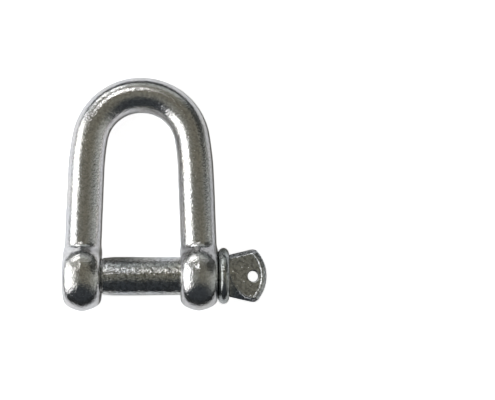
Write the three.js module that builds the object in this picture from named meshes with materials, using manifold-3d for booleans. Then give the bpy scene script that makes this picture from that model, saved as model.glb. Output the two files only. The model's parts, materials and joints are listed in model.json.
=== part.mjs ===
// Dee shackle with a screw pin, as it lies on a level surface.
//
// Three pieces: the forged bow with its two eyes, the screw pin with its flattened head, and the
// collar round the pin's neck. Millimetres. +X runs along the pin towards its head, +Y towards
// the crown of the bow and +Z up, and the surface is at z = 0, with the origin under the middle
// of the whole shackle.
//
// Every piece is first drawn flat: the pin's axis is the X axis, the bow is symmetric about the
// YZ plane and its bar's centre line lies in the XY plane. The eyes stand taller than the bar is
// thick, so the whole shackle then tips about the pin until the crown touches the surface too.
import * as THREE from 'three';
import { mergeVertices } from 'three/addons/utils/BufferGeometryUtils.js';
import Module from 'manifold-3d';

const radians = THREE.MathUtils.degToRad;

// Bow: a round bar bent to a D
const BAR_RADIUS = 6;
const CROWN_REACH = 60.2; // from the pin's axis to the bar's centre line at the crown
const CROWN_BEND = 17.1; // radius of the bar's centre line round the crown
const CROWN_TURN = radians(80); // how far each side of the crown bends
const SHOULDER_BEND = 88.5; // the legs ease into the crown on this larger radius
const SHOULDER_TURN = radians(8);
const LEG_LENGTH = 26.4; // the straight stretch, which ends inside the eye

// Eyes: discs square to the pin, with crowned rims
const EYE_RADIUS = 11.5;
const EYE_INNER_X = 13; // half the jaw's opening
const EYE_WIDTH = 12.2;
const EYE_CROWNING = 4; // how far the rim falls from its middle to the flat side faces
const EYE_SQUARENESS = 2.3; // exponent of the rim's outline: 2 is an ellipse
const PLAIN_HOLE_RADIUS = 6.65;
const MOUTH_RADIUS = 6.4; // countersink of the tapped hole

// Screw thread, M12 coarse, right hand
const PITCH = 1.75;
const CREST_RADIUS = 5.9;
const ROOT_RADIUS = 4.95;
const ROOT_FLAT = 0.35;
const CREST_FLAT = 0.3;
const THREAD_CLEARANCE = 0.25; // radial, between the pin's thread and the tapped eye

// Screw pin
const PIN_END_X = -24.8;
const END_CHAMFER = 1;
const THREAD_START_X = -12.8;
const TAPER_SMALL_X = -12.3;
const TAPER_SMALL_RADIUS = 6;
const TAPER_LARGE_X = -9.2;
const SHANK_RADIUS = 6.3; // in the jaw
const FIT_RADIUS = 6.25; // in the plain eye
const FIT_START_X = 12.7;
const EASE = 0.5; // length of the small step between the two
const SHANK_END_X = 25.2;
const NECK_RADIUS = 4.9;
const HEAD_ROOT_X = 29.4;
const HEAD_ROOT_RADIUS = 6.85;
const HEAD_ROOT_LENGTH = 4.6;
const HEAD_ROOT_FLATNESS = 0.4; // the root's height as a share of its width

// Collar
const COLLAR_X = 25.5;
const COLLAR_WIDTH = 3.6;
const COLLAR_RADIUS = 9.25;
const COLLAR_ROUNDING = 2.3; // depth of the full-round rim
const COLLAR_BORE_RADIUS = 5.2;

// Head: a flat fan with a hole for mousing wire
const HEAD_END_X = 41.4;
const HEAD_THICKNESS = 3.8;
const HEAD_END_BEND = 12.5; // radius of the fan's outer edge
const HEAD_CORNER_RADIUS = 1.1;
const HEAD_CORNER_ANGLE = radians(43); // where each corner lies round the outer edge's centre
const HEAD_FLARE = radians(13.5); // how far each side spreads from the pin's direction
const HEAD_EDGE_BEVEL = 0.7;
const HEAD_HOLE_X = 36.9;
const HEAD_HOLE_RADIUS = 1.85;

// Facets
const BAR_SIDES = 16;
const BAR_STEPS = 37; // odd, so that one flat facet lies across the middle of the crown
const ROUND_SIDES = 32;
const THREAD_SIDES = 24;
const RIM_STEPS = 10;

const STEEL = {
  bow: { color: 0xb9bbb8, roughness: 0.22, metalness: 1 },
  pin: { color: 0xaeb0b2, roughness: 0.28, metalness: 1 },
  collar: { color: 0xa6a8aa, roughness: 0.26, metalness: 1 },
};

const wasm = await Module();
wasm.setup();

// A closed three.js geometry as a solid that can be joined and cut.
function solid(geometry) {
  geometry.deleteAttribute('normal');
  geometry.deleteAttribute('uv');
  const merged = mergeVertices(geometry);
  return new wasm.Manifold(new wasm.Mesh({
    numProp: 3,
    vertProperties: merged.attributes.position.array,
    triVerts: new Uint32Array(merged.index.array),
  }));
}

// A solid as a named three.js mesh.
function piece(name, finished, finish) {
  const { vertProperties, triVerts } = finished.getMesh();
  const geometry = new THREE.BufferGeometry();
  geometry.setAttribute('position', new THREE.BufferAttribute(vertProperties, 3));
  geometry.setIndex(new THREE.BufferAttribute(triVerts, 1));
  geometry.computeVertexNormals();
  const mesh = new THREE.Mesh(geometry, new THREE.MeshStandardMaterial(finish));
  mesh.name = name;
  return mesh;
}

// A profile of [x, radius] pairs turned round the pin's axis. Flats face up and to the crown.
function turned(profile) {
  const points = profile.map(([x, radius]) => new THREE.Vector2(radius, x));
  const lathe = new THREE.LatheGeometry(points, ROUND_SIDES, Math.PI / ROUND_SIDES);
  return solid(lathe.rotateZ(-Math.PI / 2));
}

// Half a rounded rim, from one side face over the crest to the other.
function rim(middleX, halfWidth, radius, depth, squareness) {
  return Array.from({ length: RIM_STEPS + 1 }, (_, i) => {
    const angle = Math.PI * (i / RIM_STEPS - 0.5);
    const across = Math.abs(Math.sin(angle)) ** (2 / squareness) * Math.sign(angle);
    const up = Math.abs(Math.cos(angle)) ** (2 / squareness);
    return [middleX + halfWidth * across, radius - depth * (1 - up)];
  });
}

// The bow's centre line, from the left eye over the crown to the right eye.
class BowLine extends THREE.Curve {
  static runs = [
    { length: CROWN_BEND * CROWN_TURN, turn: CROWN_TURN },
    { length: SHOULDER_BEND * SHOULDER_TURN, turn: SHOULDER_TURN },
    { length: LEG_LENGTH, turn: 0 },
  ];

  static sideLength = BowLine.runs.reduce((sum, run) => sum + run.length, 0);

  getPoint(t, target = new THREE.Vector3()) {
    const fromCrown = (2 * t - 1) * BowLine.sideLength;
    let left = Math.abs(fromCrown);
    let x = 0;
    let y = CROWN_REACH;
    let heading = 0;
    for (const { length, turn } of BowLine.runs) {
      const run = Math.min(left, length);
      const halfTurn = (turn * run) / length / 2;
      const chord = halfTurn > 0 ? (run * Math.sin(halfTurn)) / halfTurn : run;
      x += chord * Math.cos(heading + halfTurn);
      y -= chord * Math.sin(heading + halfTurn);
      heading += 2 * halfTurn;
      left -= run;
    }
    return target.set(Math.sign(fromCrown) * x, y, 0);
  }
}

function bar() {
  // Flats, not corners, face up and inwards, and lie at the bar's true radius.
  const cornerRadius = BAR_RADIUS / Math.cos(Math.PI / BAR_SIDES);
  const corners = Array.from({ length: BAR_SIDES }, (_, i) => {
    const angle = (2 * Math.PI * (i + 0.5)) / BAR_SIDES;
    return new THREE.Vector2(cornerRadius * Math.cos(angle), cornerRadius * Math.sin(angle));
  });
  return solid(new THREE.ExtrudeGeometry(new THREE.Shape(corners), {
    steps: BAR_STEPS,
    extrudePath: new BowLine(),
  }));
}

function eye(innerX, outerX) {
  const middle = (innerX + outerX) / 2;
  const half = Math.abs(outerX - innerX) / 2;
  return turned([
    [middle - half, 0],
    ...rim(middle, half, EYE_RADIUS, EYE_CROWNING, EYE_SQUARENESS),
    [middle + half, 0],
  ]);
}

// A right-hand thread of the given radii between two planes, drawn longer than that at each end
// by the turn that its own start and finish need. Its surface is a grid: a row climbs one pitch
// as it goes round, so the last column is the first one again, a whole pitch further on.
function threadForm(crestRadius, rootRadius, lowX, highX) {
  const flank = (PITCH - ROOT_FLAT - CREST_FLAT) / 2;
  const form = [
    [0, rootRadius],
    [ROOT_FLAT, rootRadius],
    [ROOT_FLAT + flank, crestRadius],
    [ROOT_FLAT + flank + CREST_FLAT, crestRadius],
  ];
  // Whole pitches from the plane x = 0, so that every thread drawn here meshes with any other.
  const firstTurn = Math.floor(lowX / PITCH) - 2;
  const rows = form.length * (Math.ceil(highX / PITCH) + 1 - firstTurn);
  const rowsStored = rows + form.length + 1;
  const positions = [];
  for (let column = 0; column < THREAD_SIDES; column += 1) {
    const turn = column / THREAD_SIDES;
    for (let row = 0; row < rowsStored; row += 1) {
      const [along, radius] = form[row % form.length];
      const x = (firstTurn + Math.floor(row / form.length) + turn) * PITCH + along;
      const angle = 2 * Math.PI * turn;
      positions.push(x, radius * Math.cos(angle), radius * Math.sin(angle));
    }
  }
  const at = (column, row) => (column === THREAD_SIDES
    ? row + form.length
    : column * rowsStored + row);
  const lowCentre = positions.length / 3;
  const highCentre = lowCentre + 1;
  positions.push(firstTurn * PITCH, 0, 0);
  positions.push((firstTurn + rows / form.length + 1) * PITCH, 0, 0);
  const faces = [];
  for (let column = 0; column < THREAD_SIDES; column += 1) {
    for (let row = 0; row < rows; row += 1) {
      faces.push(at(column, row), at(column + 1, row), at(column + 1, row + 1));
      faces.push(at(column, row), at(column + 1, row + 1), at(column, row + 1));
    }
    faces.push(lowCentre, at(column + 1, 0), at(column, 0));
    faces.push(highCentre, at(column, rows), at(column + 1, rows));
  }
  for (let row = 0; row < form.length; row += 1) {
    faces.push(lowCentre, at(0, row), at(0, row + 1));
    faces.push(highCentre, at(0, rows + row + 1), at(0, rows + row));
  }
  const geometry = new THREE.BufferGeometry();
  geometry.setAttribute('position', new THREE.Float32BufferAttribute(positions, 3));
  geometry.setIndex(faces);
  return solid(geometry);
}

// A 45 degree countersink at a side face of an eye. inward is 1 where the eye lies towards +X.
function countersink(faceX, inward) {
  const depth = MOUTH_RADIUS - ROOT_RADIUS;
  const ends = [
    [faceX - inward * depth, MOUTH_RADIUS + depth],
    [faceX + inward * depth, MOUTH_RADIUS - depth],
  ];
  const profile = inward > 0 ? ends : ends.reverse();
  return turned([[profile[0][0], 0], ...profile, [profile[1][0], 0]]);
}

function bow() {
  const outerX = EYE_INNER_X + EYE_WIDTH;
  const beyond = EYE_WIDTH / 4;
  const plainHole = turned([
    [EYE_INNER_X - beyond, 0],
    [EYE_INNER_X - beyond, PLAIN_HOLE_RADIUS],
    [outerX + beyond, PLAIN_HOLE_RADIUS],
    [outerX + beyond, 0],
  ]);
  const tap = threadForm(
    CREST_RADIUS + THREAD_CLEARANCE,
    ROOT_RADIUS + THREAD_CLEARANCE,
    -outerX,
    -EYE_INNER_X,
  );
  const tappedHole = tap
    .add(countersink(-outerX, 1))
    .add(countersink(-EYE_INNER_X, -1));
  return bar()
    .add(eye(-outerX, -EYE_INNER_X))
    .add(eye(EYE_INNER_X, outerX))
    .subtract(plainHole)
    .subtract(tappedHole);
}

// The fan lies in the bow's plane: its outline is drawn in X and Y and thickened along Z.
function headPlate() {
  const centreX = HEAD_END_X - HEAD_END_BEND;
  const cornerReach = HEAD_END_BEND - HEAD_CORNER_RADIUS;
  const cornerX = centreX + cornerReach * Math.cos(HEAD_CORNER_ANGLE);
  const cornerY = cornerReach * Math.sin(HEAD_CORNER_ANGLE);
  const square = Math.PI / 2 + HEAD_FLARE;
  const sideX = cornerX + HEAD_CORNER_RADIUS * Math.cos(square);
  const sideY = cornerY + HEAD_CORNER_RADIUS * Math.sin(square);
  const rootY = sideY - (sideX - HEAD_ROOT_X) * Math.tan(HEAD_FLARE);
  const outline = new THREE.Shape();
  outline.moveTo(HEAD_ROOT_X, -rootY);
  outline.lineTo(sideX, -sideY);
  outline.absarc(cornerX, -cornerY, HEAD_CORNER_RADIUS, -square, -HEAD_CORNER_ANGLE);
  outline.absarc(centreX, 0, HEAD_END_BEND, -HEAD_CORNER_ANGLE, HEAD_CORNER_ANGLE);
  outline.absarc(cornerX, cornerY, HEAD_CORNER_RADIUS, HEAD_CORNER_ANGLE, square);
  outline.lineTo(HEAD_ROOT_X, rootY);
  outline.closePath();
  const hole = new THREE.Path();
  hole.absarc(HEAD_HOLE_X, 0, HEAD_HOLE_RADIUS, 0, 2 * Math.PI, true);
  outline.holes.push(hole);
  const plate = new THREE.ExtrudeGeometry(outline, {
    depth: HEAD_THICKNESS - 2 * HEAD_EDGE_BEVEL,
    curveSegments: 8,
    bevelThickness: HEAD_EDGE_BEVEL,
    bevelSize: HEAD_EDGE_BEVEL,
    bevelOffset: -HEAD_EDGE_BEVEL,
    bevelSegments: 2,
  });
  plate.translate(0, 0, HEAD_EDGE_BEVEL - HEAD_THICKNESS / 2);
  return solid(plate);
}

// Shank and neck.
function pinBody() {
  return turned([
    [THREAD_START_X, 0],
    [THREAD_START_X, ROOT_RADIUS + THREAD_CLEARANCE],
    [TAPER_SMALL_X, TAPER_SMALL_RADIUS],
    [TAPER_LARGE_X, SHANK_RADIUS],
    [FIT_START_X - EASE, SHANK_RADIUS],
    [FIT_START_X, FIT_RADIUS],
    [SHANK_END_X, FIT_RADIUS],
    [SHANK_END_X, NECK_RADIUS],
    [HEAD_ROOT_X, NECK_RADIUS],
    [HEAD_ROOT_X, 0],
  ]);
}

// The low oval root through which the neck runs out into the fan. It starts inside the neck.
function headRoot() {
  const steps = 5;
  const flank = Array.from({ length: steps + 1 }, (_, i) => {
    const along = i / steps;
    const radius = HEAD_ROOT_RADIUS * (1 - along) ** 2 + (HEAD_THICKNESS / 2) * along;
    return [HEAD_ROOT_X + HEAD_EDGE_BEVEL + HEAD_ROOT_LENGTH * along, radius];
  });
  return turned([
    [HEAD_ROOT_X - EASE, 0],
    [HEAD_ROOT_X - EASE, NECK_RADIUS / 2],
    [HEAD_ROOT_X, NECK_RADIUS / 2],
    [HEAD_ROOT_X, HEAD_ROOT_RADIUS - HEAD_EDGE_BEVEL],
    ...flank,
    [HEAD_ROOT_X + HEAD_EDGE_BEVEL + HEAD_ROOT_LENGTH, 0],
  ]).scale([1, 1, HEAD_ROOT_FLATNESS]);
}

// The blank only trims the thread's two ends to cones, so it stands clear of the crests between.
function threadedEnd() {
  const clear = END_CHAMFER / 2;
  const blank = turned([
    [PIN_END_X, 0],
    [PIN_END_X, CREST_RADIUS - END_CHAMFER],
    [PIN_END_X + END_CHAMFER + clear, CREST_RADIUS + clear],
    [THREAD_START_X - END_CHAMFER - clear, CREST_RADIUS + clear],
    [THREAD_START_X + THREAD_CLEARANCE, ROOT_RADIUS - THREAD_CLEARANCE],
    [THREAD_START_X + THREAD_CLEARANCE, 0],
  ]);
  return threadForm(CREST_RADIUS, ROOT_RADIUS, PIN_END_X, THREAD_START_X).intersect(blank);
}

function screwPin() {
  return pinBody().add(headRoot()).add(threadedEnd()).add(headPlate());
}

function pinCollar() {
  const half = COLLAR_WIDTH / 2;
  const bore = [COLLAR_X, COLLAR_BORE_RADIUS];
  return turned([
    bore,
    ...rim(COLLAR_X + half, half, COLLAR_RADIUS, COLLAR_ROUNDING, 2),
    [COLLAR_X + COLLAR_WIDTH, COLLAR_BORE_RADIUS],
    bore,
  ]);
}

const shackle = new THREE.Group();
shackle.add(
  piece('bow', bow(), STEEL.bow),
  piece('screw_pin', screwPin(), STEEL.pin),
  piece('pin_collar', pinCollar(), STEEL.collar),
);

// Both eyes and the crown touch the surface.
shackle.rotation.x = -Math.asin((EYE_RADIUS - BAR_RADIUS) / CROWN_REACH);
const lying = new THREE.Group();
lying.add(shackle);
const extent = new THREE.Box3().setFromObject(lying, true);
const middle = extent.getCenter(new THREE.Vector3());
shackle.position.set(-middle.x, -middle.y, -extent.min.z);

export default lying;
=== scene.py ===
"""Looks of the dee shackle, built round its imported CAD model.

Every piece is a forged, zinc-plated steel solid. Each one is written as a function that is
negative inside the steel, in millimetres, in the flat frame that the shackle is drawn in: the
pin's axis is the X axis and the bow's centre line lies in the XY plane. skin() turns such a
function into a mesh of quads, and LYING puts that mesh where the CAD model lies. Named sizes
and places are in millimetres too, and the lights' are in metres.
"""

import json
import math

import bpy
import numpy as np
from mathutils import Matrix, Vector, noise


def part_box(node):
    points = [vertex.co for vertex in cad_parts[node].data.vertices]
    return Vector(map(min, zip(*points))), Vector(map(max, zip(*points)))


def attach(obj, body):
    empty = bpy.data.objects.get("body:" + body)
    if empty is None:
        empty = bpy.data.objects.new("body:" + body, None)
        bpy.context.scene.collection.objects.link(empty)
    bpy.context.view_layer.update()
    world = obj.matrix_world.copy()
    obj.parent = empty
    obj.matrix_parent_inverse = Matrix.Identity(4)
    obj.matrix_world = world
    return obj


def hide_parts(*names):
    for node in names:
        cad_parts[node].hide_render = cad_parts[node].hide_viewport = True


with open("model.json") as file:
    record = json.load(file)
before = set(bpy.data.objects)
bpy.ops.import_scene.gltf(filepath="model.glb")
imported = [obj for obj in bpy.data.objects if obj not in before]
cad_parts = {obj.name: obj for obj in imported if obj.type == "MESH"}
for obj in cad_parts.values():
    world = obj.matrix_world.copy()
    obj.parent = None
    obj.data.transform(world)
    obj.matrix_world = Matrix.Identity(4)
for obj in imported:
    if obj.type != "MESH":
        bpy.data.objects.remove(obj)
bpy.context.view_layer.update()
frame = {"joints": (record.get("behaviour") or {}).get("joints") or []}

MM = 0.001

# Bow
BAR_RADIUS = 6.0
CROWN_THINNING = 0.13  # how much smaller the bar's radius is at the crown
THINNING_START_Y = 25.0
THINNING_END_Y = 50.0
BAR_WEDGE = 0.04  # share by which the bar is thicker on the outside of the bow
CROWN_REACH = 60.2  # from the pin's axis to the bar's centre line at the crown
CROWN_BEND = 17.1
CROWN_TURN = math.radians(80)
SHOULDER_BEND = 88.5
SHOULDER_TURN = math.radians(8)
LEG_FOOT_Y = 4.0  # where the bar ends, inside the eyes

# Eyes
EYE_RADIUS = 11.5
EYE_INNER_X = 13.0
EYE_WIDTH = 12.2
EYE_MIDDLE_X = EYE_INNER_X + EYE_WIDTH / 2
EYE_OUTER_X = EYE_INNER_X + EYE_WIDTH
EYE_ROUNDING = 3.0
EYE_SQUARENESS = 2.3
EYE_RIDGE_SLOPE = 0.18  # how steeply the rim falls away from the ridge in its middle
EYE_RIDGE_SOFTNESS = 0.25
EYE_FILLET = 1.4
PLAIN_HOLE_RADIUS = 6.65
COUNTERSINK_RADIUS = 6.4
HOLE_EDGE_ROUND = 0.35

# Screw thread, M12 coarse, right hand
PITCH = 1.75
CREST_RADIUS = 5.9
ROOT_RADIUS = 4.95
ROOT_FLAT = 0.35
CREST_FLAT = 0.3
THREAD_CLEARANCE = 0.25

# Screw pin
PIN_END_X = -24.8
END_CHAMFER = 1.0
THREAD_START_X = -12.8
THREAD_OVERLAP = 0.3  # how far the thread runs into the shank's tapered start
TAPER_SMALL_X = -12.3
TAPER_SMALL_RADIUS = 6.0
TAPER_LARGE_X = -9.2
SHANK_RADIUS = 6.3
SHANK_END_X = 25.2
NECK_RADIUS = 4.9
NECK_OVERLAP = 2.0  # how far the neck runs into the shank
PIN_EDGE_ROUND = 0.3
HEAD_ROOT_X = 29.1

# Collar
COLLAR_LOW_X = 25.28
COLLAR_HIGH_X = 29.0
COLLAR_RADIUS = 9.25
COLLAR_ROUNDING = 2.3
COLLAR_SQUARENESS = 2
COLLAR_BORE_RADIUS = 5.1
COLLAR_EDGE_ROUND = 0.2

# Head
HEAD_END_X = 41.4
HEAD_THICKNESS = 3.8
HEAD_END_BEND = 12.5
HEAD_CORNER_RADIUS = 1.1
HEAD_CORNER_ANGLE = math.radians(43)
HEAD_FLARE = math.radians(13.5)
HEAD_HALF_WIDTH = 8.9
HEAD_BEVEL = 1.4
HEAD_FACE_X = 29.7  # where the flat face begins on the -Y side, as a parabola's tip
HEAD_FACE_SPREAD = 10.0
HEAD_FACE_TIP = 0.2
HEAD_FLANK_DEPTH = 0.8  # share of the thickness lost at the outline, beside that face
HEAD_LIP_HEIGHT = 0.32
HEAD_LIP_WIDTH = 0.42
HEAD_HOLE_X = 36.9
HEAD_HOLE_RADIUS = 1.77
HEAD_HOLE_Y = -0.2

# Unevenness of each forging, as (height, wavelength)
BOW_UNEVENNESS = [(0.06, 9.0), (0.014, 1.6)]
PIN_UNEVENNESS = [(0.03, 6.0), (0.014, 1.5)]
COLLAR_UNEVENNESS = [(0.03, 4.0), (0.012, 1.5)]

# Sizes of the zinc's patterns
CLOUD_SIZE = 9.0
GLOSS_SIZE = 2.2
GRAIN_SIZE = 0.6

# Grids: the room they leave round a shape, and their spacings
MARGIN = 0.8
HEAD_MARGIN = 1.0
BOW_GRID = 0.42
TAPPED_EYE_GRID = 0.2
THREAD_GRID = 0.1
HEAD_GRID = 0.2
HEAD_WIDTH_GRID = 0.25
SHANK_GRID = 0.3
COLLAR_WIDTH_GRID = 0.25
COLLAR_GRID = 0.35

# The pale sheet that the steel reflects in the floor, which fades out between two distances
SHEET_EDGE_X = (90.0, 120.0)
SHEET_EDGE_Y = (66.0, 82.0)
SHEET_SHADE = 0.8
GROUND_SHADE = 0.04
SIDE_DIMMING = 0.3
FLOOR_HALF_SIDE = 3000.0
# Painted light: the floor glows for the camera, so it shows white and its shadows hardly show
FLOOR_GLOW = 0.9

# The dark doorway's direction in the room
DOORWAY = Vector((0.80, 0.50, 0.36))

# Camera, from the middle of the pin's axis
CAMERA_LENS = 88.2
CAMERA_PLACE = Vector((11.52, 25.03, 400.0))
CAMERA_AIM_X = 35.12

# Where the flat frame lies: both eyes and the crown touch the floor
TILT = math.asin((EYE_RADIUS - BAR_RADIUS) / CROWN_REACH)
pin_turn = next(joint for joint in frame["joints"] if joint["name"] == "pin_turn")
bow_low, bow_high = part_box("bow")
PIN_AXIS = Vector(((bow_low.x + bow_high.x) / 2, *pin_turn["pos_m"][1:]))
LYING = Matrix.Translation(PIN_AXIS) @ Matrix.Rotation(-TILT, 4, "X") @ Matrix.Scale(MM, 4)


# ---------------------------------------------------------------- shapes as functions

def either(a, b, fillet):
    """Two shapes together, with a fillet where they meet."""
    overlap = np.maximum(fillet - np.abs(a - b), 0) / fillet
    return np.minimum(a, b) - overlap * overlap * fillet / 4


def both(a, b, round_off):
    """What two shapes share, with that radius on the edge between them."""
    corner = np.hypot(np.maximum(a + round_off, 0), np.maximum(b + round_off, 0))
    return np.minimum(np.maximum(a, b) + round_off, 0) + corner - round_off


def rounded_rim(across, radius, half_width, outer_radius, depth, squareness):
    """A disc with a crowned rim. across is the distance from its middle plane."""
    a = np.abs(across) / half_width
    b = np.maximum(radius - (outer_radius - depth), 0) / depth
    reach = (a ** squareness + b ** squareness) ** (1 / squareness) + 1e-9
    slope_a = (a / reach) ** (squareness - 1) / half_width
    slope_b = (b / reach) ** (squareness - 1) / depth
    return (reach - 1) / (np.hypot(slope_a, slope_b) + 1e-9)


def off_bow_line(x, y):
    """Distance outwards from the bar's centre line, within the bow's plane."""
    x = np.abs(x)
    crown_y = CROWN_REACH - CROWN_BEND
    crown = np.hypot(x, y - crown_y) - CROWN_BEND
    offset = SHOULDER_BEND - CROWN_BEND
    shoulder_x = -offset * math.sin(CROWN_TURN)
    shoulder_y = crown_y - offset * math.cos(CROWN_TURN)
    shoulder = np.hypot(x - shoulder_x, y - shoulder_y) - SHOULDER_BEND
    turn = CROWN_TURN + SHOULDER_TURN
    # The leg is a straight line square to the shoulder's last radius.
    leg = (x - shoulder_x) * math.sin(turn) + (y - shoulder_y) * math.cos(turn) - SHOULDER_BEND
    in_crown = np.arctan2(x, y - crown_y) < CROWN_TURN
    in_shoulder = np.arctan2(x - shoulder_x, y - shoulder_y) < turn
    return np.where(in_crown, crown, np.where(in_shoulder, shoulder, leg))


def thread_radius(x, y, z, crest, root):
    """Radius of a right-hand thread's surface at the given place round the pin's axis."""
    flank = (PITCH - ROOT_FLAT - CREST_FLAT) / 2
    along = PITCH * np.mod(x / PITCH - np.arctan2(z, y) / (2 * math.pi), 1)
    places = np.cumsum([0, ROOT_FLAT, flank, CREST_FLAT, flank])
    return np.interp(along, places, [root, root, crest, crest, root])


def smoothstep(value, low, high):
    """0 below low, 1 above high, and a smooth change between them."""
    t = np.clip((value - low) / (high - low), 0, 1)
    return t * t * (3 - 2 * t)


def bow_shape(x, y, z):
    """The bent bar, keystone-shaped in section, run into both eyes, with the eyes' holes cut out."""
    bar_radius = BAR_RADIUS - CROWN_THINNING * smoothstep(y, THINNING_START_Y, THINNING_END_Y)
    outwards = off_bow_line(x, y)
    thickness = 1 + BAR_WEDGE * np.clip(outwards / BAR_RADIUS, -1, 1)
    bar = np.hypot(outwards, z / thickness) - bar_radius
    bar = np.maximum(bar, LEG_FOOT_Y - y)
    radius = np.hypot(y, z)
    across = np.abs(x) - EYE_MIDDLE_X
    ridge = np.hypot(across, EYE_RIDGE_SOFTNESS) - EYE_RIDGE_SOFTNESS
    eye = rounded_rim(across, radius + EYE_RIDGE_SLOPE * ridge, EYE_WIDTH / 2,
                      EYE_RADIUS, EYE_ROUNDING, EYE_SQUARENESS)
    forging = either(bar, eye, EYE_FILLET)
    tapped = thread_radius(x, y, z, CREST_RADIUS + THREAD_CLEARANCE, ROOT_RADIUS + THREAD_CLEARANCE)
    countersink = COUNTERSINK_RADIUS - (EYE_WIDTH / 2 - np.abs(across))
    tapped = np.maximum(tapped, countersink)
    hole = np.where(x > 0, PLAIN_HOLE_RADIUS, tapped)
    return both(forging, hole - radius, HOLE_EDGE_ROUND)


def pin_shape(x, y, z):
    """Thread, tapered start, shank, neck and head, in that order along +X."""
    radius = np.hypot(y, z)
    thread = radius - thread_radius(x, y, z, CREST_RADIUS, ROOT_RADIUS)
    chamfer = (radius - (CREST_RADIUS - END_CHAMFER + (x - PIN_END_X))) * math.sqrt(0.5)
    thread = np.maximum(thread, np.maximum(chamfer, x - THREAD_START_X - THREAD_OVERLAP))
    thread = np.maximum(thread, PIN_END_X - x)
    taper = np.interp(
        x,
        [THREAD_START_X, TAPER_SMALL_X, TAPER_LARGE_X],
        [ROOT_RADIUS + THREAD_CLEARANCE, TAPER_SMALL_RADIUS, SHANK_RADIUS],
    )
    shank = np.maximum(radius - taper, THREAD_START_X - x)
    shank = both(shank, x - SHANK_END_X, PIN_EDGE_ROUND)
    neck_length = np.maximum(SHANK_END_X - NECK_OVERLAP - x, x - HEAD_ROOT_X)
    neck = np.maximum(radius - NECK_RADIUS, neck_length)
    stem = np.minimum(np.minimum(thread, shank), neck)
    return np.minimum(stem, head_shape(x, y, z))


def head_shape(x, y, z):
    """The drilled fan. On its -Y side the flat face narrows towards the neck and slopes away."""
    end_bend_x = HEAD_END_X - HEAD_END_BEND
    side_x = end_bend_x + (HEAD_END_BEND - HEAD_CORNER_RADIUS) * math.cos(HEAD_CORNER_ANGLE)
    half_width = HEAD_HALF_WIDTH + (x - side_x) * math.tan(HEAD_FLARE)
    side = (np.abs(y) - half_width) * math.cos(HEAD_FLARE)
    end = np.hypot(x - end_bend_x, y) - HEAD_END_BEND
    outline = both(side, end, HEAD_CORNER_RADIUS)
    full = half_width - HEAD_BEVEL
    face = np.sqrt(HEAD_FACE_SPREAD * np.maximum(x - HEAD_FACE_X, 0) + HEAD_FACE_TIP ** 2)
    face = np.where(y < 0, np.minimum(face, full), full)
    end_lip = np.exp(-((end + HEAD_BEVEL) / HEAD_LIP_WIDTH) ** 2)
    side_lip = np.exp(-((y + face) / HEAD_LIP_WIDTH) ** 2)
    half = HEAD_THICKNESS / 2 + HEAD_LIP_HEIGHT * np.maximum(end_lip, side_lip)
    fan = both(outline, np.abs(z) - half, HEAD_BEVEL)
    flank = np.maximum(np.abs(y) - face, 0) / (half_width - face)
    sloped = np.abs(z) - half * (1 - HEAD_FLANK_DEPTH * flank)
    head = np.maximum(np.maximum(fan, sloped), HEAD_ROOT_X - x)
    hole = HEAD_HOLE_RADIUS - np.hypot(x - HEAD_HOLE_X, y - HEAD_HOLE_Y)
    return both(head, hole, PIN_EDGE_ROUND)


def collar_shape(x, y, z):
    """A ring with a full-round rim."""
    radius = np.hypot(y, z)
    half_width = (COLLAR_HIGH_X - COLLAR_LOW_X) / 2
    across = x - COLLAR_LOW_X - half_width
    rim = rounded_rim(across, radius, half_width, COLLAR_RADIUS, COLLAR_ROUNDING, COLLAR_SQUARENESS)
    return both(rim, COLLAR_BORE_RADIUS - radius, COLLAR_EDGE_ROUND)


# ---------------------------------------------------------------- meshes

CELL_CORNERS = [(i, j, k) for i in (0, 1) for j in (0, 1) for k in (0, 1)]


def planes(*stretches):
    """Grid planes: each stretch is (from, to, spacing)."""
    runs = [np.linspace(a, b, int(round((b - a) / s)) + 1) for a, b, s in stretches]
    return np.unique(np.round(np.concatenate(runs), 6))


def planes_across(reach, spacing):
    """Grid planes from one side of the pin's axis to the other."""
    return planes((-reach, reach, spacing))


def slope(shape, points):
    """The shape's gradient at each point."""
    step = 0.02
    axes = np.eye(3) * step
    ahead = [shape(*(points + axis).T) for axis in axes]
    behind = [shape(*(points - axis).T) for axis in axes]
    return (np.array(ahead) - np.array(behind)).T / (2 * step)


def settle(shape, points, limit, rounds=3):
    """Moves each point on to the shape's surface, by no more than limit a round."""
    for _ in range(rounds):
        gradient = slope(shape, points)
        squared = np.maximum((gradient ** 2).sum(1), 0.05)
        move = -gradient * (shape(*points.T) / squared)[:, None]
        length = np.linalg.norm(move, axis=1)[:, None]
        points = points + move * np.minimum(1, limit / np.maximum(length, 1e-9))
    return points


def relax(points, quads, share):
    """Moves each point part of the way to the middle of its neighbours."""
    total = np.zeros_like(points)
    count = np.zeros(len(points))
    for a, b in ((0, 1), (1, 2), (2, 3), (3, 0)):
        for one, other in ((a, b), (b, a)):
            np.add.at(total, quads[:, one], points[quads[:, other]])
            np.add.at(count, quads[:, one], 1)
    return points + share * (total / count[:, None] - points)


def crossings(axes, value, cells):
    """For each grid cell, the middle of the places where the surface cuts the cell's edges."""
    total = np.zeros((len(cells), 3))
    count = np.zeros(len(cells))
    for start in CELL_CORNERS:
        for axis in range(3):
            if start[axis]:
                continue
            one = cells + start
            other = one + np.eye(3, dtype=int)[axis]
            low, high = value[tuple(one.T)], value[tuple(other.T)]
            cut = (low < 0) != (high < 0)
            share = np.where(cut, low / np.where(cut, low - high, 1), 0)
            place = np.stack([axes[a][one[:, a]] for a in range(3)], 1)
            place[:, axis] += share * (axes[axis][other[:, axis]] - axes[axis][one[:, axis]])
            total += place * cut[:, None]
            count += cut
    return total / count[:, None]


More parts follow.
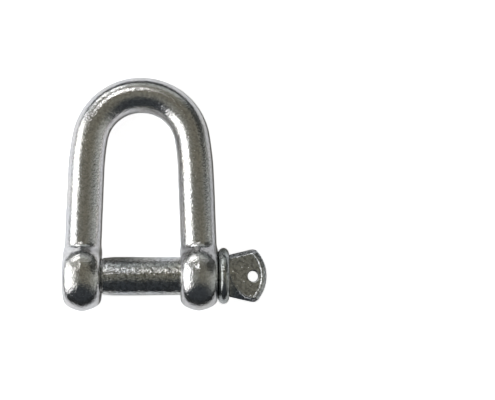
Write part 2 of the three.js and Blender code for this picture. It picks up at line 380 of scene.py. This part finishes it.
def quads_over(axis, inside, number):
    """For each grid edge along an axis that leaves or enters the shape, the quad of the four
    cells around it, turned outwards."""
    u, v = (axis + 1) % 3, (axis + 2) % 3
    low = np.moveaxis(inside, axis, 0)[:-1]
    high = np.moveaxis(inside, axis, 0)[1:]
    found = np.argwhere(low != high)
    edge = np.empty_like(found)
    edge[:, [axis, *(a for a in range(3) if a != axis)]] = found
    around = []
    for du, dv in ((-1, -1), (0, -1), (0, 0), (-1, 0)):
        cell = edge.copy()
        cell[:, u] += du
        cell[:, v] += dv
        around.append(number[tuple(cell.T)])
    quad = np.stack(around, 1)
    leaving = inside[tuple(edge.T)]
    return np.where(leaving[:, None], quad, quad[:, ::-1])


def skin(shape, axes):
    """The surface of a shape as points and outward quads, one point in each grid cell it crosses."""
    value = shape(*np.meshgrid(*axes, indexing="ij"))
    inside = value < 0
    size = [len(axis) - 1 for axis in axes]

    def at_corner(corner):
        return inside[tuple(slice(c, c + n) for c, n in zip(corner, size))]

    filled = sum(at_corner(corner).astype(np.int8) for corner in CELL_CORNERS)
    cells = np.argwhere((filled > 0) & (filled < len(CELL_CORNERS)))
    number = np.full(size, -1)
    number[tuple(cells.T)] = np.arange(len(cells))
    quads = [quads_over(axis, inside, number) for axis in range(3)]
    return crossings(axes, value, cells), np.concatenate(quads)


def forged(points, normals, height, wavelength, seed):
    """Moves points along their normals by smooth noise, as uneven as a forging."""
    shift = Vector((seed, 2.3 * seed, 3.7 * seed))
    lift = [noise.noise(Vector(p) / wavelength + shift) for p in points]
    return points + normals * (height * np.array(lift))[:, None]


def in_scene(name, data):
    """A new object in the scene, from its mesh, light or camera."""
    made = bpy.data.objects.new(name, data)
    bpy.context.scene.collection.objects.link(made)
    return made


def piece(name, shape, axes, unevenness):
    """A shape as a Blender object, in place."""
    points, quads = skin(shape, axes)
    spacing = max(np.diff(axis).max() for axis in axes)
    for _ in range(2):
        points = relax(points, quads, 0.5)
        points = settle(shape, points, spacing / 2, rounds=2)
    normals = slope(shape, points)
    normals /= np.maximum(np.linalg.norm(normals, axis=1), 1e-6)[:, None]
    for seed, (height, wavelength) in enumerate(unevenness, 1):
        points = forged(points, normals, height, wavelength, seed)
    mesh = bpy.data.meshes.new(name)
    mesh.from_pydata(points.tolist(), [], quads.tolist())
    mesh.transform(LYING)
    mesh.validate()
    mesh.shade_smooth()
    return in_scene(name, mesh)


# ---------------------------------------------------------------- nodes

def put(tree, value, socket):
    """Links a socket to another one, or sets its value."""
    if isinstance(value, bpy.types.NodeSocket):
        tree.links.new(value, socket)
    else:
        socket.default_value = value


def map_range(tree, factor, source, target, change="LINEAR"):
    """A factor carried from one range to another. Each range is (low, high)."""
    node = tree.nodes.new("ShaderNodeMapRange")
    node.interpolation_type = change
    sockets = ("From Min", "From Max", "To Min", "To Max")
    for socket, value in zip(sockets, (*source, *target)):
        node.inputs[socket].default_value = value
    tree.links.new(factor, node.inputs["Value"])
    return node.outputs["Result"]


def colour_ramp(tree, factor, stops):
    """A factor as a colour. Each stop is (position, colour)."""
    node = tree.nodes.new("ShaderNodeValToRGB")
    elements = node.color_ramp.elements
    while len(elements) < len(stops):
        elements.new(0.5)
    for element, (position, colour) in zip(elements, stops):
        element.position = position
        element.color = (*colour, 1)
    tree.links.new(factor, node.inputs["Fac"])
    return node.outputs["Color"]


def mixed(tree, factor, a, b, blend_type="MIX"):
    """A colour mix. Each input is a value or the socket that it comes from."""
    node = tree.nodes.new("ShaderNodeMix")
    node.data_type = "RGBA"
    node.blend_type = blend_type
    for socket, value in (("Factor", factor), ("A", a), ("B", b)):
        put(tree, value, node.inputs[socket])
    return node.outputs["Result"]


def maths(tree, operation, *values):
    """A Math node. Each value is a number or the socket that it comes from."""
    node = tree.nodes.new("ShaderNodeMath")
    node.operation = operation
    for socket, value in zip(node.inputs, values):
        put(tree, value, socket)
    return node.outputs["Value"]


# ---------------------------------------------------------------- zinc

def zinc(name, dark, light, roughness, grain, fleck, fleck_shade, seed):
    """Bright zinc plating on a forged surface. grain and fleck are a height and a size in mm."""
    material = bpy.data.materials.new(name)
    material.use_nodes = True
    tree = material.node_tree
    shader = tree.nodes["Principled BSDF"]
    shader.inputs["Metallic"].default_value = 1.0
    place = tree.nodes.new("ShaderNodeTexCoord").outputs["Object"]

    def pattern(size, detail, rough=0.5):
        node = tree.nodes.new("ShaderNodeTexNoise")
        node.noise_dimensions = "4D"
        node.inputs["W"].default_value = seed
        node.inputs["Scale"].default_value = 1 / (size * MM)
        node.inputs["Detail"].default_value = detail
        node.inputs["Roughness"].default_value = rough
        tree.links.new(place, node.inputs["Vector"])
        return node.outputs["Fac"]

    tint = colour_ramp(tree, pattern(CLOUD_SIZE, 3), [(0.35, dark), (0.65, light)])
    flecks = [(0.38, (fleck_shade,) * 3), (0.56, (1, 1, 1))]
    dust = colour_ramp(tree, pattern(fleck, 2, 0.6), flecks)
    tree.links.new(mixed(tree, 1.0, tint, dust, "MULTIPLY"), shader.inputs["Base Color"])
    gloss = map_range(tree, pattern(GLOSS_SIZE, 3), (0.3, 0.7), (roughness - 0.05, roughness + 0.07))
    tree.links.new(gloss, shader.inputs["Roughness"])
    bump = tree.nodes.new("ShaderNodeBump")
    bump.inputs["Strength"].default_value = 1.0
    bump.inputs["Distance"].default_value = grain * MM
    tree.links.new(pattern(GRAIN_SIZE, 2, 0.55), bump.inputs["Height"])
    tree.links.new(bump.outputs["Normal"], shader.inputs["Normal"])
    return material


# ---------------------------------------------------------------- the shackle

def assign(made, material, body, node):
    """Gives a piece its plating and its body, and hides the CAD node it stands for."""
    made.data.materials.append(material)
    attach(made, body)
    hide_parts(node)


def bow():
    axes = (
        planes(
            (-EYE_OUTER_X - MARGIN, -EYE_INNER_X + MARGIN, TAPPED_EYE_GRID),
            (-EYE_INNER_X + MARGIN, EYE_OUTER_X + MARGIN, BOW_GRID),
        ),
        planes((-EYE_RADIUS - MARGIN, CROWN_REACH + BAR_RADIUS + MARGIN, BOW_GRID)),
        planes_across(EYE_RADIUS + MARGIN, BOW_GRID),
    )
    made = piece("bow_forging", bow_shape, axes, BOW_UNEVENNESS)
    plating = zinc("bow_zinc", dark=(0.79, 0.79, 0.81), light=(0.85, 0.83, 0.81),
                   roughness=0.12, grain=0.11, fleck=0.8, fleck_shade=0.8, seed=1.0)
    assign(made, plating, "bow", "bow")


def screw_pin():
    axes = (
        planes(
            (PIN_END_X - MARGIN, TAPER_SMALL_X, THREAD_GRID),
            (TAPER_SMALL_X, SHANK_END_X, SHANK_GRID),
            (SHANK_END_X, HEAD_END_X + MARGIN, HEAD_GRID),
        ),
        planes_across(HEAD_HALF_WIDTH + HEAD_MARGIN, HEAD_WIDTH_GRID),
        planes_across(SHANK_RADIUS + MARGIN, SHANK_GRID),
    )
    made = piece("screw_pin_forging", pin_shape, axes, PIN_UNEVENNESS)
    plating = zinc("pin_zinc", dark=(0.70, 0.72, 0.75), light=(0.78, 0.77, 0.74),
                   roughness=0.12, grain=0.17, fleck=1.0, fleck_shade=0.55, seed=2.0)
    assign(made, plating, "pin", "screw_pin")


def pin_collar():
    axes = (
        planes((COLLAR_LOW_X - MARGIN, COLLAR_HIGH_X + MARGIN, COLLAR_WIDTH_GRID)),
        planes_across(COLLAR_RADIUS + MARGIN, COLLAR_GRID),
        planes_across(COLLAR_RADIUS + MARGIN, COLLAR_GRID),
    )
    made = piece("pin_collar_ring", collar_shape, axes, COLLAR_UNEVENNESS)
    plating = zinc("collar_zinc", dark=(0.60, 0.63, 0.63), light=(0.68, 0.69, 0.67),
                   roughness=0.2, grain=0.09, fleck=0.8, fleck_shade=0.6, seed=3.0)
    assign(made, plating, "collar", "pin_collar")


# ---------------------------------------------------------------- stage

def floor():
    """A pale floor, which glows for the camera so that it shows white and its shadows hardly show.
    The steel reflects it as a pale sheet on darker ground.
    """
    half = FLOOR_HALF_SIDE * MM
    mesh = bpy.data.meshes.new("floor")
    corners = [(-half, -half, 0), (half, -half, 0), (half, half, 0), (-half, half, 0)]
    mesh.from_pydata(corners, [], [(0, 1, 2, 3)])
    mesh.materials.append(floor_material())
    in_scene("floor", mesh)


def floor_material():
    material = bpy.data.materials.new("pale_floor")
    material.use_nodes = True
    tree = material.node_tree
    nodes = tree.nodes
    nodes.clear()
    place = nodes.new("ShaderNodeSeparateXYZ")
    tree.links.new(nodes.new("ShaderNodeTexCoord").outputs["Object"], place.inputs["Vector"])

    def sheet(axis, edge, shades):
        """The sheet's shade and the ground's, by the distance from the middle along an axis."""
        distance = maths(tree, "ABSOLUTE", place.outputs[axis])
        return map_range(tree, distance, [mm * MM for mm in edge], shades, "SMOOTHSTEP")

    along = sheet("Y", SHEET_EDGE_Y, (SHEET_SHADE, GROUND_SHADE))
    across = sheet("X", SHEET_EDGE_X, (1, SIDE_DIMMING))
    shade = maths(tree, "MULTIPLY", along, across)
    reflected = nodes.new("ShaderNodeBsdfDiffuse")
    tree.links.new(shade, reflected.inputs["Color"])
    pale = nodes.new("ShaderNodeBsdfDiffuse")
    pale.inputs["Color"].default_value = (0.8, 0.8, 0.8, 1)
    # Painted light: a glow that only the camera sees, added to the pale floor so that its shadows
    # hardly show
    glow = nodes.new("ShaderNodeEmission")
    glow.inputs["Strength"].default_value = FLOOR_GLOW
    shown = nodes.new("ShaderNodeAddShader")
    tree.links.new(pale.outputs["BSDF"], shown.inputs[0])
    tree.links.new(glow.outputs["Emission"], shown.inputs[1])
    chosen = nodes.new("ShaderNodeMixShader")
    seen = nodes.new("ShaderNodeLightPath").outputs["Is Camera Ray"]
    tree.links.new(seen, chosen.inputs["Fac"])
    tree.links.new(reflected.outputs["BSDF"], chosen.inputs[1])
    tree.links.new(shown.outputs["Shader"], chosen.inputs[2])
    output = nodes.new("ShaderNodeOutputMaterial")
    tree.links.new(chosen.outputs["Shader"], output.inputs["Surface"])
    return material


def area_light(name, place, aim, size, radiance, shape="RECTANGLE", colour=(1, 1, 1)):
    """A flat light at a place, facing aim, which the camera doesn't see. Sizes are in metres."""
    data = bpy.data.lights.new(name, "AREA")
    data.shape = shape
    data.size, data.size_y = size
    data.energy = radiance * math.pi * size[0] * size[1]
    data.color = colour
    made = in_scene(name, data)
    made.location = place
    made.rotation_euler = (Vector(aim) - Vector(place)).to_track_quat("-Z", "Y").to_euler()
    made.visible_camera = False
    return made


def lights():
    """Three lights that only the steel's reflections show, and one that only the floor shows."""
    window = area_light("window", place=(-1.0, -0.07, 0.65), aim=(0.0, -0.07, 0.65),
                        size=(1.54, 1.1), radiance=1.45)
    tube = area_light("tube", place=(-0.42, 1.12, 1.5), aim=(-0.42, 1.12, 0),
                      size=(0.84, 0.34), radiance=3.2, shape="ELLIPSE")
    back_lamp = area_light("back_lamp", place=(-0.75, 1.35, 0.48), aim=(0, 0, 0),
                           size=(0.75, 0.3), radiance=2.2)
    for light in (window, tube, back_lamp):
        light.visible_diffuse = False
    key = area_light("key", place=(-0.3, 0.05, 0.26), aim=(0, 0, 0),
                     size=(0.15, 0.15), radiance=27.0, colour=(0.93, 0.95, 1.0))
    key.visible_glossy = False


def room():
    """What the steel reflects: an olive ceiling, pale walls except in front, and a dark doorway
    at the back on the right. The camera sees plain white."""
    world = bpy.data.worlds.new("room")
    bpy.context.scene.world = world
    world.use_nodes = True
    tree = world.node_tree
    nodes = tree.nodes
    nodes.clear()
    direction = nodes.new("ShaderNodeTexCoord").outputs["Generated"]
    split = nodes.new("ShaderNodeSeparateXYZ")
    tree.links.new(direction, split.inputs["Vector"])

    def by_angle(sideways, stops):
        """Colour by the angle from straight up, in degrees, towards one side or the other."""
        angle = maths(tree, "ARCTAN2", sideways, split.outputs["Z"])
        turn = maths(tree, "MULTIPLY_ADD", angle, 0.5 / math.pi, 0.5)
        return colour_ramp(tree, turn, [(degrees / 360 + 0.5, shade) for degrees, shade in stops])

    olive = (0.14, 0.13, 0.1)
    grey = (0.21, 0.21, 0.18)
    pale = (0.46, 0.48, 0.46)
    dark = (0.04, 0.045, 0.05)
    across = by_angle(split.outputs["X"], [
        (-90, pale), (-15, grey), (15, olive), (42, grey), (82, pale), (95, grey),
    ])
    along = by_angle(split.outputs["Y"], [
        (-30, dark), (0, grey), (20, olive), (55, grey), (68, pale), (76, pale), (85, dark),
    ])
    side = maths(tree, "ABSOLUTE", split.outputs["X"])
    end = maths(tree, "ABSOLUTE", split.outputs["Y"])
    reach = maths(tree, "ADD", maths(tree, "ADD", side, end), 0.001)
    share = maths(tree, "DIVIDE", side, reach)
    blend = map_range(tree, share, (0.42, 0.78), (0, 1), "SMOOTHSTEP")
    walls = mixed(tree, blend, along, across)

    towards = nodes.new("ShaderNodeVectorMath")
    towards.operation = "DOT_PRODUCT"
    towards.inputs[1].default_value = DOORWAY.normalized()
    tree.links.new(direction, towards.inputs[0])
    doorway = map_range(tree, towards.outputs["Value"], (0.91, 0.955), (1.0, 0.2), "SMOOTHSTEP")
    dimmed = nodes.new("ShaderNodeVectorMath")
    dimmed.operation = "SCALE"
    tree.links.new(walls, dimmed.inputs[0])
    tree.links.new(doorway, dimmed.inputs["Scale"])

    seen = nodes.new("ShaderNodeLightPath").outputs["Is Camera Ray"]
    backdrop = mixed(tree, seen, dimmed.outputs["Vector"], (1, 1, 1, 1))
    shader = nodes.new("ShaderNodeBackground")
    tree.links.new(backdrop, shader.inputs["Color"])
    output = nodes.new("ShaderNodeOutputWorld")
    tree.links.new(shader.outputs["Background"], output.inputs["Surface"])


def camera():
    """Looks down from above the right leg's inner side, turned a little towards the head."""
    data = bpy.data.cameras.new("camera")
    data.sensor_width = 36
    data.lens = CAMERA_LENS
    made = in_scene("camera", data)
    place = PIN_AXIS + CAMERA_PLACE * MM
    aim = Vector((PIN_AXIS.x + CAMERA_AIM_X * MM, place.y, PIN_AXIS.z))
    forward = (aim - place).normalized()
    right = forward.cross(Vector((0, 1, 0))).normalized()
    up = right.cross(forward)
    turned = Matrix((right, up, -forward)).transposed().to_4x4()
    made.matrix_world = Matrix.Translation(place) @ turned
    bpy.context.scene.camera = made


bow()
screw_pin()
pin_collar()
floor()
room()
lights()
camera()
bpy.context.scene.view_settings.view_transform = "Standard"
